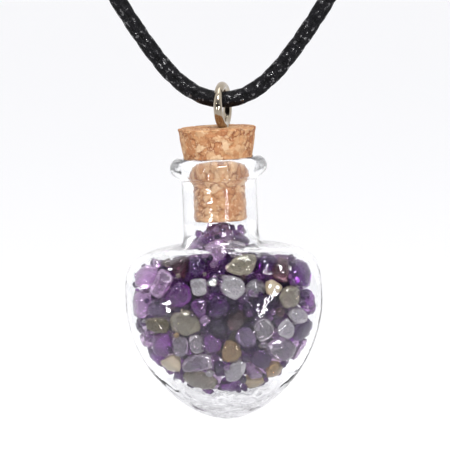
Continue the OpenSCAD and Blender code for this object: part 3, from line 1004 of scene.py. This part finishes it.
def crumb_stones(hulls, names, rng):
    """The crumbs as lumpy balls, each a little flattened."""
    directions, faces = ball(COARSE_BALL)
    stones = []
    for room, middle in find_crumbs(hulls, rng):
        squash = 1 - CRUMB_SQUASH + CRUMB_SQUASH * rng.random(3)
        radius = [room * (1 + CRUMB_LUMP * wobble(d, LUMP_SIZE, room * 90)) for d in directions]
        points = np.array(middle) + np.array(radius)[:, None] * directions * squash
        stones.append(Stone(points, faces, names.index(any_kind(rng)), rng.random()))
    return stones


def make_chips():
    """The chips of the front and of the back half and the crumbs between them, a piece each."""
    hulls = [hull_of(corners) for corners in cad_stones()]
    rng = np.random.default_rng(SEED)
    kinds = choose_kinds(np.array([hull.middle for hull in hulls]), rng)
    names = sorted(STONES)
    fine, coarse = ball(FINE_BALL), ball(COARSE_BALL)
    front, back = [], []
    for hull, kind in zip(hulls, kinds):
        directions, faces = fine if near_glass(hull.middle) else coarse
        stone = Stone(tumbled(hull, directions), faces, names.index(kind), rng.random())
        (front if hull.middle[1] < 0 else back).append(stone)
    crumbs = crumb_stones(hulls, names, rng)
    looks = [stone_look("amethyst_" + name, *STONES[name]) for name in names]
    for name, stones in (("chips_front", front), ("chips_back", back), ("crumbs", crumbs)):
        points, faces = join_parts([(stone.points, stone.faces) for stone in stones])
        piece = new_piece("amethyst_" + name, hang(points, -EYE_OFFSET), faces, looks,
                          "vial", ["chips"])
        kind_of_face = [stone.kind for stone in stones for _ in stone.faces]
        piece.data.polygons.foreach_set("material_index", kind_of_face)
        store(piece, "tint", [stone.tint for stone in stones for _ in stone.points])


cord, line, length = make_cord()
clasp = make_clasp()
make_eye()
make_cork()
make_bottle()
make_chips()


# Floor, lights and world, in metres

FLOOR_Z = -0.3
FLOOR_HALF = 9
FLOOR_PALE = (0.957, 0.957, 0.962, 1)
# A round patch of painted shade: how far in front of the pendant its middle is, its radius and its colour
SHADE_PATCH_AWAY = 4.5
SHADE_PATCH_REACH = 5
SHADE_PATCH_GREY = (0.42, 0.42, 0.425, 1)
SKY_WHITE = (1.09, 1.09, 1.11, 1)
SKY_DARK = (0.06, 0.06, 0.07, 1)

# Lights: name, azimuth, elevation, distance, width, height, turn and power, with angles in degrees
LIGHTS = [
    ("key_light", -34, -9, 0.7, 0.07, 0.015, 0, 0.6),
    ("front_light", -4, 2, 0.75, 0.006, 0.01, 0, 0.12),
    ("fill_light", 8, 42, 0.8, 0.22, 0.22, 0, 4),
    ("slanting_light", 19, -9, 0.7, 0.01, 0.22, -50, 0.5),
    ("left_shoulder_light", -36, 12, 0.7, 0.05, 0.015, 30, 0.5),
    ("right_shoulder_light", 25, 12, 0.7, 0.015, 0.03, -20, 0.3),
    ("far_right_light", 37, 13, 0.7, 0.015, 0.03, -20, 0.3),
    ("top_light", 10, 80, 0.9, 0.5, 0.5, 0, 2),
    ("right_light", 28, -1, 0.7, 0.02, 0.02, 0, 0.3),
]


def make_floor():
    """A pale floor with a round patch of painted shade in front of the pendant, which keeps the glass clear
    of glare.
    """
    mesh = bpy.data.meshes.new("floor")
    corners = [(x * FLOOR_HALF, y * FLOOR_HALF, FLOOR_Z) for x, y in ((-1, -1), (1, -1), (1, 1), (-1, 1))]
    mesh.from_pydata(corners, [], [(0, 1, 2, 3)])
    floor = bpy.data.objects.new("floor", mesh)
    bpy.context.collection.objects.link(floor)
    look = Look("floor_look", Specular_IOR_Level=0.2, Roughness=0.8)
    away = look.vector("DISTANCE", look.place, (0, -SHADE_PATCH_AWAY, FLOOR_Z), output="Value")
    waver = look.math("MULTIPLY", look.noise(3, 2), 0.005)
    edge = look.math("ADD", look.math("DIVIDE", away, SHADE_PATCH_REACH), waver)
    # Painted shade: the floor is grey in a round patch in front of the pendant and pale beyond it
    look.set(Base_Color=look.ramp(edge, [(0.83, SHADE_PATCH_GREY), (0.98, FLOOR_PALE)], ease="EASE"))
    mesh.materials.append(look.material)


def make_light(name, azimuth, elevation, far, width, height, turn, power):
    """A soft box that looks at the pendant; azimuth 0 is the camera's side and runs to its right."""
    data = bpy.data.lights.new(name, "AREA")
    data.shape = "RECTANGLE"
    data.size = width
    data.size_y = height
    data.energy = power
    light = bpy.data.objects.new(name, data)
    a, e = math.radians(azimuth), math.radians(elevation)
    way = Vector((math.sin(a) * math.cos(e), -math.cos(a) * math.cos(e), math.sin(e)))
    light.location = target + far * way
    look_at = (target - light.location).to_track_quat("-Z", "Y")
    light.rotation_euler = (look_at @ Quaternion((0, 0, 1), math.radians(turn))).to_euler()
    bpy.context.collection.objects.link(light)


def make_world():
    """A sky that is white above and behind and dark below and in front."""
    world = bpy.data.worlds.new("studio")
    bpy.context.scene.world = world
    world.use_nodes = True
    sky = Nodes(world.node_tree)
    way = sky.add("ShaderNodeSeparateXYZ", Vector=sky.add("ShaderNodeTexCoord").outputs["Generated"])
    rise = sky.math("MULTIPLY_ADD", way.outputs["Z"], 0.3, 0.5)
    shift = sky.math("MULTIPLY_ADD", way.outputs["Y"], 0.4, rise)
    colour = sky.ramp(shift, [(0.22, SKY_DARK), (0.55, SKY_WHITE)])
    sky.add("ShaderNodeOutputWorld", Surface=sky.add("ShaderNodeBackground", Color=colour).outputs[0])


make_floor()
for light in LIGHTS:
    make_light(*light)
make_world()

scene = bpy.context.scene
scene.view_settings.view_transform = "Standard"
scene.cycles.max_bounces = 24
scene.cycles.transmission_bounces = 20
scene.cycles.glossy_bounces = 8
scene.cycles.transparent_max_bounces = 16
scene.cycles.sample_clamp_indirect = 200
